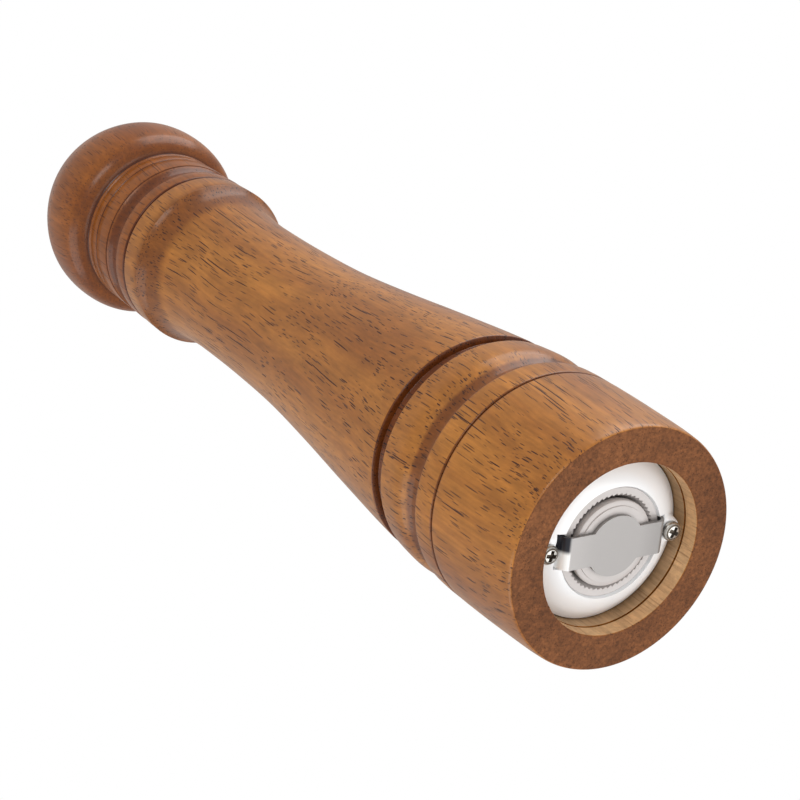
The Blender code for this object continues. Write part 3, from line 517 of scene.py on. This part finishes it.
if sum(face.normal.z for face in sheet.faces) > 0:
    bmesh.ops.reverse_faces(sheet, faces=sheet.faces)
bmesh.ops.solidify(sheet, geom=sheet.faces[:], thickness=plate_t * mm)

polished, shader, add, fill = shader_tools("polished_steel", (0.82, 0.835, 0.85), 0.12, 0.3)
place = add("TexCoord").outputs["Object"]
haze = add("TexNoise", {"Vector": place, "Scale": 380.0, "Detail": 3.0}).outputs[0]
fill(shader, {"Roughness": add("MapRange", {0: haze, 3: 0.26, 4: 0.36}).outputs[0]})
plate = piece("dished_plate", sheet, "body_unit", ["mechanism_plate"], [polished], 30)

# ---- Plate screws ----
# Two zinc-plated pan-head screws with a cross recess, driven up into the wood round the bore.
screw_low, screw_high = (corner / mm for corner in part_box("plate_screw_1"))
pan_r = (screw_high.y - screw_low.y) / 2
pan_z = screw_low.z
pan_h = 1.45
shank_r = 1.3
recess_share = 0.76
recess_depth = 2.1
arm_share = 0.68
arm_taper = 0.6


def cross_recess(r, depth, turn):
    """A tapered four-armed cross, as a screwdriver leaves its shape in a screw's head."""
    shape = bmesh.new()
    for quarter in (0, 90):
        arm = bmesh.ops.create_cube(shape, size=1.0)["verts"]
        bmesh.ops.scale(shape, vec=(2 * r * mm, arm_share * r * mm, depth * mm), verts=arm)
        bmesh.ops.scale(shape, vec=(arm_taper, arm_taper, 1), verts=[v for v in arm if v.co.z > 0])
        about = Matrix.Rotation(math.radians(quarter + turn), 3, "Z")
        bmesh.ops.rotate(shape, verts=arm, cent=(0, 0, 0), matrix=about)
    mesh = bpy.data.meshes.new("recess")
    shape.to_mesh(mesh)
    shape.free()
    return bpy.data.objects.new("recess", mesh)


def carve(shape, cutter):
    """The shape less the cutter, by an exact Boolean."""
    mesh = bpy.data.meshes.new("blank")
    shape.to_mesh(mesh)
    shape.free()
    blank = bpy.data.objects.new("blank", mesh)
    for obj in (blank, cutter):
        bpy.context.scene.collection.objects.link(obj)
    bore = blank.modifiers.new("bore", "BOOLEAN")
    bore.operation = "DIFFERENCE"
    bore.use_self = True
    bore.object = cutter
    cut = blank.evaluated_get(bpy.context.evaluated_depsgraph_get()).data
    carved = bmesh.new()
    carved.from_mesh(cut)
    bpy.data.objects.remove(cutter)
    bpy.data.objects.remove(blank)
    return carved


zinc, shader, add, fill = shader_tools("zinc_plating", (0.5, 0.485, 0.45), 0.9, 0.25)
place = add("TexCoord").outputs["Object"]
cloud = add("TexNoise", {"Vector": place, "Scale": 1500.0, "Detail": 3.0}).outputs[0]
fill(shader, {"Roughness": add("MapRange", {0: cloud, 3: 0.18, 4: 0.42}).outputs[0]})
# A near-black finish for the cross recess: painted shade.
recess_shade, shader, add, fill = shader_tools("recess_shadow", (0.12, 0.1, 0.08), 0.8, 0.6)
cloud = add("TexNoise", {"Scale": 2500.0, "Detail": 2.0}).outputs[0]
fill(shader, {"Roughness": add("MapRange", {0: cloud, 3: 0.5, 4: 0.75}).outputs[0]})
for number, side, turn in ((1, 1, 28), (2, -1, 12)):
    outline = [
        (0, pan_z), *through([(0.01, pan_z), (pan_r * 0.55, pan_z + 0.1), (pan_r * 0.88, pan_z + 0.42),
                              (pan_r, pan_z + 0.85), (pan_r, pan_z + pan_h - 0.15)], 4),
        (pan_r - 0.15, pan_z + pan_h), (shank_r, pan_z + pan_h), (shank_r, screw_high.z - 2), (0, screw_high.z),
    ]
    recess = cross_recess(pan_r * recess_share, recess_depth, turn)
    recess.data.transform(Matrix.Translation((0, 0, pan_z * mm)))
    screw = carve(turned(outline, 48), recess)
    bmesh.ops.translate(screw, verts=screw.verts, vec=(side * screw_x * mm, 0, 0))
    node = f"plate_screw_{number}"
    made = piece(f"pan_head_screw_{number}", screw, "body_unit", [node], [zinc, recess_shade], 30)
    # The faces in and around the cross recess take the painted shade finish.
    for face in made.data.polygons:
        from_axis = (face.center.xy - Vector((side * screw_x * mm, 0))).length / mm
        if from_axis < pan_r * 0.8 and pan_z + 0.16 < face.center.z / mm < pan_z + 1.2:
            face.material_index = 1

# ---- Strap ----
# A satin steel strap with a round middle, which carries the rotor from below.
# Its ends are folded up through the plate's notches. The left leg is smoother, and its colour is a painted
# reflection: near black on its -Y half, bright white on its +Y half.
strap_low, strap_high = (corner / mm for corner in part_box("bridge_strap"))
strap_half = 3.8
strap_t = 0.7
disc_r = (strap_high.y - strap_low.y) / 2
fold_x = 11.6
arm_start = math.asin(strap_half / disc_r)
disc_steps = 24

flat = bmesh.new()
corners = []
for side in (1, -1):
    arc = [side * math.pi / 2 + arm_start - math.pi / 2 + (math.pi - 2 * arm_start) * i / disc_steps
           for i in range(disc_steps + 1)]
    corners.append((side * fold_x, -side * strap_half))
    corners.append((side * fold_x, side * strap_half))
    corners += [(disc_r * math.cos(a), disc_r * math.sin(a)) for a in arc]
outer = flat.faces.new([flat.verts.new((x * mm, y * mm, strap_low.z * mm)) for x, y in corners])
for side in (1, -1):
    rim = [e for e in flat.edges if all(abs(v.co.x - side * fold_x * mm) < 0.01 * mm for v in e.verts)]
    legs = [(0.3, 0.05), (0.3, 0.12), (0.45, 0.33), (0.4, 0.5), (0.35, 0.7), (0.2, 0.8), (0.05, 0.85), (0.35, 0.35),
            (0.9, 0.05)]
    for run, rise in legs:
        grown = bmesh.ops.extrude_edge_only(flat, edges=rim)["geom"]
        moved = [g for g in grown if isinstance(g, bmesh.types.BMVert)]
        bmesh.ops.translate(flat, verts=moved, vec=(side * run * mm, 0, rise * mm))
        rim = [g for g in grown if isinstance(g, bmesh.types.BMEdge)
               and all(v in moved for v in g.verts)]
bmesh.ops.recalc_face_normals(flat, faces=flat.faces)
if outer.normal.z > 0:
    bmesh.ops.reverse_faces(flat, faces=flat.faces)
bmesh.ops.solidify(flat, geom=flat.faces[:], thickness=strap_t * mm)
satin, shader, add, fill = shader_tools("satin_steel", (0.3, 0.287, 0.28), 0.7, 0.42)
place = add("TexCoord").outputs["Object"]
rolled = add("Mapping", {0: place, 3: (400, 4000, 400)}).outputs[0]
rolled = add("TexNoise", {"Vector": rolled, "Scale": 1.0, "Detail": 2.0}).outputs[0]
across = add("SeparateXYZ", {0: place})
folded = add("MapRange", {0: across.outputs[0], 1: -(fold_x + 0.1) * mm, 2: -(fold_x + 0.7) * mm}).outputs[0]
plain = add("MapRange", {0: rolled, 3: 0.38, 4: 0.48}).outputs[0]
fill(shader, {"Roughness": add("MapRange", {0: folded, 3: plain, 4: 0.2}).outputs[0]})
fill(shader, {"Metallic": add("MapRange", {0: folded, 3: 0.7, 4: 0.15}).outputs[0]})
# The left leg's colour is a painted reflection: near black on its -Y half and bright white on its +Y half, with a
# soft edge between them.
reflection_split_from, reflection_split_to = 0.4 * mm, -0.9 * mm
reflection_split = add("MapRange", {0: across.outputs[1], 1: reflection_split_from, 2: reflection_split_to}, interpolation_type="SMOOTHSTEP")
painted_bright_reflection, painted_dark_reflection = (0.95, 0.95, 0.94, 1), (0.02, 0.022, 0.03, 1)
painted_reflection = add("Mix", {0: reflection_split.outputs[0], 6: painted_bright_reflection, 7: painted_dark_reflection}, data_type="RGBA").outputs[2]
tone = add("Mix", {0: folded, 6: (0.3, 0.287, 0.28, 1), 7: painted_reflection}, data_type="RGBA").outputs[2]
fill(shader, {"Base Color": tone})
strap = piece("folded_strap", flat, "body_unit", ["bridge_strap"], [satin], 30)

# ---- Stator ----
# The fixed ring of the grinder, moulded in pale ceramic, with a saw-toothed bore that narrows upwards.
# It sits in the nylon housing above the plate, and its raised face shows through the plate's opening.
stator_low, stator_high = (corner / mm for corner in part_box("stator"))
stator_teeth = 54
tip_r = 10.75
tooth_depth = 0.45
face_z = 4.3
face_r = 12.75
cone = 0.364
flange_r = stator_high.x
wall_r = 12.2
flange_top = stator_low.z + 1.6


def toothed(rings, teeth, depth, back_share=0.72):
    """A closed tube through toothed rings. A ring is (radius, height, share of the teeth's depth, twist)."""
    shape = bmesh.new()
    step = 2 * math.pi / teeth
    loops = []
    for r, z, share, twist in rings:
        loop = []
        for tooth in range(teeth):
            for part, cut in ((0, 0), (back_share / 2, 0.5), (back_share, 1), ((1 + back_share) / 2, 0.5)):
                angle = (tooth + part) * step + math.radians(twist)
                reach = (r + cut * share * depth) * mm
                loop.append(shape.verts.new((reach * math.cos(angle), reach * math.sin(angle), z * mm)))
        loops.append([shape.edges.new((loop[i - 1], loop[i])) for i in range(len(loop))])
    for i in range(len(loops)):
        bmesh.ops.bridge_loops(shape, edges=loops[i - 1] + loops[i])
    return shape


bore_top_r = tip_r - cone * (stator_high.z - stator_low.z)
stator_rings = [
    (tip_r, face_z + 0.12, 1, 0), (bore_top_r, stator_high.z, 1, 8), (wall_r, stator_high.z, 0, 0),
    (wall_r, flange_top, 0, 0), (flange_r, flange_top, 0, 0), (flange_r, stator_low.z + 0.3, 0, 0),
    (flange_r - 0.3, stator_low.z, 0, 0), (face_r, stator_low.z, 0, 0), (face_r, face_z + 0.15, 0, 0),
    (face_r - 0.15, face_z, 0, 0), (tip_r + 0.1, face_z, 1, 0),
]
ceramic, shader, add, fill = shader_tools("pale_ceramic", (0.5, 0.47, 0.455), 0.0, 0.38, coat_weight=0.15)
place = add("TexCoord").outputs["Object"]
speck = add("TexNoise", {"Vector": place, "Scale": 260.0, "Detail": 4.0}).outputs[0]
tone = add("Mix", {0: speck, 6: (0.5, 0.465, 0.45, 1), 7: (0.45, 0.42, 0.405, 1)}, data_type="RGBA").outputs[2]
fill(shader, {"Base Color": tone})
fill(shader, {"Normal": add("Bump", {"Strength": 0.1, "Distance": 0.05 * mm, "Height": speck}).outputs[0]})
stator_shape = toothed(stator_rings, stator_teeth, tooth_depth)
stator = piece("toothed_stator", stator_shape, "body_unit", ["stator"], [ceramic], 25)

# ---- Rotor ----
# The turning cone of the grinder, moulded in the same ceramic. Its rim below is smooth and stepped, and its
# teeth grow deeper upwards. It hangs on the hub of the square shaft and turns with the head.
rotor_low, rotor_high = (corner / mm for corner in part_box("rotor"))
rotor_teeth = 30
rotor_tooth_depth = 0.8
rim_r = rotor_high.x - 0.3
rotor_bore = 4.8
rotor_top_r = 7.2
rotor_rings = [
    (rotor_bore, rotor_low.z, 0, 0), (rim_r - 1.25, rotor_low.z, 0, 0), (rim_r - 1.2, rotor_low.z + 0.25, 0, 0),
    (rim_r - 0.45, rotor_low.z + 0.28, 0, 0), (rim_r - 0.12, rotor_low.z + 0.45, 0, 0),
    (rim_r, rotor_low.z + 0.8, 0, 0), (rim_r - 0.1, rotor_low.z + 1.9, 0, 0),
    (rotor_top_r, rotor_high.z - 3.5, -1, 14), (5.9, rotor_high.z, -1, 22),
    (rotor_bore, rotor_high.z, 0, 0),
]
rotor_shape = toothed(rotor_rings, rotor_teeth, rotor_tooth_depth)
rotor = piece("toothed_rotor", rotor_shape, "shaft_unit", ["rotor"], [ceramic], 25)

# ---- Inside of the grinder ----
# What holds the rotor up: a nylon housing and hub, steel washer and clip, the square shaft, and the drive plate
# screwed under the head. They are out of sight, so they keep their CAD shapes and get their finishes here.


def finish_node(name, finish):
    """Gives a CAD node its finish."""
    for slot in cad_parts[name].material_slots:
        slot.material = finish


nylon, shader, add, fill = shader_tools("white_nylon", (0.72, 0.71, 0.68), 0.0, 0.45, subsurface_weight=0.1)
place = add("TexCoord").outputs["Object"]
speck = add("TexNoise", {"Vector": place, "Scale": 500.0, "Detail": 3.0}).outputs[0]
fill(shader, {"Roughness": add("MapRange", {0: speck, 3: 0.38, 4: 0.55}).outputs[0]})
pitted = add("Bump", {"Strength": 0.12, "Distance": 0.05 * mm, "Height": speck}).outputs[0]
fill(shader, {"Normal": pitted})
for name in ("stator_housing", "rotor_hub"):
    finish_node(name, nylon)

drawn, shader, add, fill = shader_tools("drawn_steel", (0.62, 0.61, 0.6), 1.0, 0.32)
along = add("Mapping", {0: add("TexCoord").outputs["Object"], 3: (3000, 3000, 60)}).outputs[0]
scratch = add("TexNoise", {"Vector": along, "Scale": 1.0, "Detail": 2.0}).outputs[0]
fill(shader, {"Roughness": add("MapRange", {0: scratch, 3: 0.22, 4: 0.42}).outputs[0]})
for name in ("drive_shaft", "retaining_clip", "thrust_washer", "drive_plate", "drive_screw_1", "drive_screw_2"):
    finish_node(name, drawn)

# ---- Spring ----
# A coil of drawn steel wire between the hub and the thrust washer, which pushes the rotor down.
# It shortens as the nut draws the shaft up. Here its coils are evenly spaced.
coil_low, coil_high = (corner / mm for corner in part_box("adjuster_spring"))
wire_r = 0.45
coil_turns = 4.5
turn_facets = 40
wire_facets = 14
coil_r = coil_high.x - wire_r
coil_steps = round(coil_turns * turn_facets)
coil_rise = coil_high.z - coil_low.z - 2 * wire_r
shape = bmesh.new()
upright = Matrix.Rotation(math.radians(90), 4, "X")
foot = Matrix.Translation(Vector((coil_r, 0, coil_low.z + wire_r)) * mm) @ upright
bmesh.ops.create_circle(shape, segments=wire_facets, radius=wire_r * mm, matrix=foot)
bmesh.ops.spin(shape, geom=shape.verts[:] + shape.edges[:], cent=(0, 0, 0), axis=(0, 0, 1),
               dvec=(0, 0, coil_rise / coil_steps * mm), angle=2 * math.pi * coil_turns, steps=coil_steps)
bmesh.ops.holes_fill(shape, edges=[edge for edge in shape.edges if edge.is_boundary])
spring = piece("coil_spring", shape, "shaft_unit", ["adjuster_spring"], [drawn])
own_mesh(spring)

# ---- Nut ----
# A round knurled nut of brushed steel on a thin washer, turned and rolled.
# It is screwed on the shaft's thread, holds the head down and sets the grind.
nut_low, nut_high = (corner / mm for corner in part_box("top_nut"))
nut_r = nut_high.x
knurls = 24
knurl_depth = 0.45
facets_per_knurl = 8
foot_lift = 0.6
top_steps = [(0.5, 0.95), (0.3, 0.85), (0.1, 0.5)]
shape = bmesh.new()
bmesh.ops.create_circle(shape, cap_ends=True, segments=knurls * facets_per_knurl, radius=nut_r * mm)
for vert in shape.verts:
    wave = (1 + math.cos(math.atan2(vert.co.y, vert.co.x) * knurls)) / 2
    vert.co.xy *= 1 - knurl_depth / nut_r * wave ** 2
bmesh.ops.translate(shape, verts=shape.verts, vec=(0, 0, (nut_low.z + foot_lift) * mm))
for rise, narrow in [(nut_high.z - nut_low.z - 1.5, 1.0), *top_steps]:
    top = max(shape.faces, key=lambda f: f.calc_center_median().z)
    grown = bmesh.ops.extrude_face_region(shape, geom=[top])["geom"]
    bmesh.ops.delete(shape, geom=[top], context="FACES_ONLY")
    moved = [g for g in grown if isinstance(g, bmesh.types.BMVert)]
    bmesh.ops.translate(shape, verts=moved, vec=(0, 0, rise * mm))
    bmesh.ops.scale(shape, verts=moved, vec=(narrow, narrow, 1))
bmesh.ops.holes_fill(shape, edges=[e for e in shape.edges if e.is_boundary])
brushed, shader, add, fill = shader_tools("brushed_steel", (0.7, 0.69, 0.67), 1.0, 0.3)
place = add("TexCoord").outputs["Object"]
brushing = add("TexNoise", {"Vector": place, "Scale": 900.0, "Detail": 3.0}).outputs[0]
fill(shader, {"Roughness": add("MapRange", {0: brushing, 3: 0.2, 4: 0.4}).outputs[0]})
nut = piece("knurled_nut", shape, "nut", ["top_nut"], [brushed], 30)
finish_node("nut_washer", brushed)
